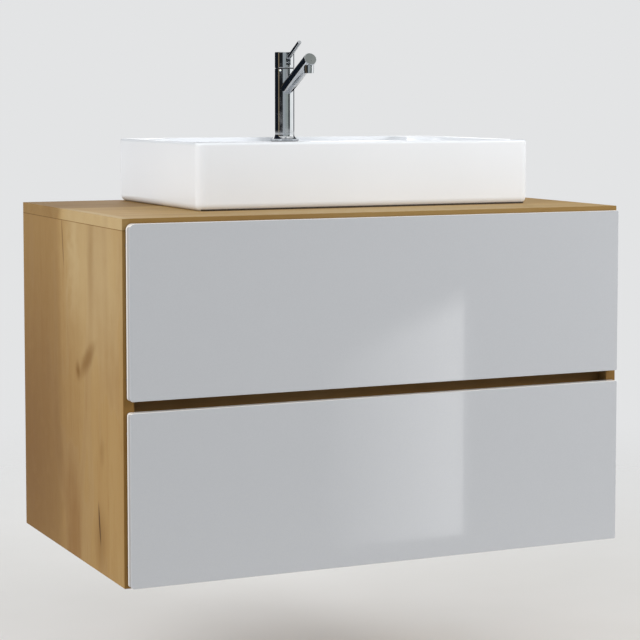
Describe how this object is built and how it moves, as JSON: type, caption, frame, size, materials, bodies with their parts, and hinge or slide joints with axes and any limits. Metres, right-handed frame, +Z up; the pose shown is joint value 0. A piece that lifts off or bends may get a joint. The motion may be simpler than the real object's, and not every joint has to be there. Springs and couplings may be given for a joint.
{
  "type": "wall-hung vanity unit with basin",
  "caption": "Wall-hung oak vanity unit with gloss grey drawers that slide out by a finger gap, a rectangular countertop basin and a slim single-lever tap.",
  "frame": {"origin": "on the wall plane, in the middle of the screw holes of the wall plates", "axes": "+X to the right seen from the front, +Y into the wall, +Z up; the drawers open towards -Y"},
  "size_m": [0.8, 0.494, 0.7739],
  "materials": {
    "oak_laminate": "satin oak laminate",
    "back_board": "matt hardboard",
    "beech": "raw",
    "soft_bumper": "soft",
    "zinc_steel": "zinc plated",
    "white_ceramic": "glossy glaze",
    "chrome": "polished",
    "seal_rubber": "matt",
    "raw_brass": "machined",
    "white_plastic": "moulded",
    "grey_plastic": "moulded",
    "grey_melamine": "melamine faced board",
    "gloss_grey": "high gloss"
  },
  "bodies": {
    "cabinet": {"worktop": "oak_laminate", "side_left": "oak_laminate", "side_right": "oak_laminate", "bottom_panel": "oak_laminate", "grip_rail": "oak_laminate", "rear_mid_rail": "oak_laminate", "rear_bottom_rail": "oak_laminate", "back_panel": "back_board", "carcass_dowels": "beech", "bumpers": "soft_bumper", "hanger_left": "zinc_steel", "hanger_right": "zinc_steel", "wall_plate_left": "zinc_steel", "wall_plate_right": "zinc_steel", "upper_runner_fixed": "zinc_steel", "lower_runner_fixed": "zinc_steel", "runner_screws": "zinc_steel", "basin": "white_ceramic", "drain_waste": "chrome", "drain_seals": "seal_rubber", "drain_nut": "raw_brass", "trap_nut": "white_plastic", "trap_tube": "white_plastic", "trap_head": "white_plastic", "trap_cup": "white_plastic", "trap_outlet_nut": "white_plastic", "trap_outlet": "white_plastic", "tap_gasket": "seal_rubber", "tap_column": "chrome", "tap_spout": "chrome", "tap_aerator": "chrome", "tap_cartridge": "white_plastic", "tap_lock_ring": "raw_brass", "tap_stud": "zinc_steel", "tap_washer": "zinc_steel", "tap_nut": "zinc_steel"},
    "upper_drawer": {"upper_front": "gloss_grey", "upper_side_left": "grey_melamine", "upper_side_right": "grey_melamine", "upper_back_left": "grey_melamine", "upper_back_right": "grey_melamine", "upper_bottom": "grey_melamine", "upper_liner": "grey_plastic", "upper_dowels": "beech", "upper_runner_drawer": "zinc_steel"},
    "lower_drawer": {"lower_front": "gloss_grey", "lower_side_left": "grey_melamine", "lower_side_right": "grey_melamine", "lower_back": "grey_melamine", "lower_bottom": "grey_melamine", "lower_dowels": "beech", "lower_runner_drawer": "zinc_steel"},
    "upper_slide": {"upper_runner_mid": "zinc_steel"},
    "lower_slide": {"lower_runner_mid": "zinc_steel"},
    "tap_handle": {"tap_cap": "chrome", "tap_stem": "raw_brass", "tap_pin": "zinc_steel"},
    "tap_lever": {"tap_lever": "chrome"},
    "plug": {"drain_plug": "chrome"}
  },
  "joints": [
    {"name": "upper_drawer_slide", "type": "slide", "parent": "cabinet", "child": "upper_drawer", "axis": [0, -1, 0], "range_m": [0, 0.38]},
    {"name": "lower_drawer_slide", "type": "slide", "parent": "cabinet", "child": "lower_drawer", "axis": [0, -1, 0], "range_m": [0, 0.38]},
    {"name": "upper_runner_slide", "type": "slide", "parent": "cabinet", "child": "upper_slide", "axis": [0, -1, 0], "range_m": [0, 0.19]},
    {"name": "lower_runner_slide", "type": "slide", "parent": "cabinet", "child": "lower_slide", "axis": [0, -1, 0], "range_m": [0, 0.19]},
    {"name": "tap_swivel", "type": "hinge", "parent": "cabinet", "child": "tap_handle", "pos_m": [0.035, -0.0415, 0.28], "axis": [0, 0, 1], "range_deg": [-45, 45]},
    {"name": "lever_tilt", "type": "hinge", "parent": "tap_handle", "child": "tap_lever", "pos_m": [0.035, -0.047, 0.2943], "axis": [-1, 0, 0], "range_deg": [0, 25]},
    {"name": "plug_lift", "type": "slide", "parent": "cabinet", "child": "plug", "axis": [0, 0, 1], "range_m": [0, 0.008]}
  ],
  "couplings": [
    {"joint": "upper_runner_slide", "follows": "upper_drawer_slide", "ratio": 0.5},
    {"joint": "lower_runner_slide", "follows": "lower_drawer_slide", "ratio": 0.5}
  ]
}
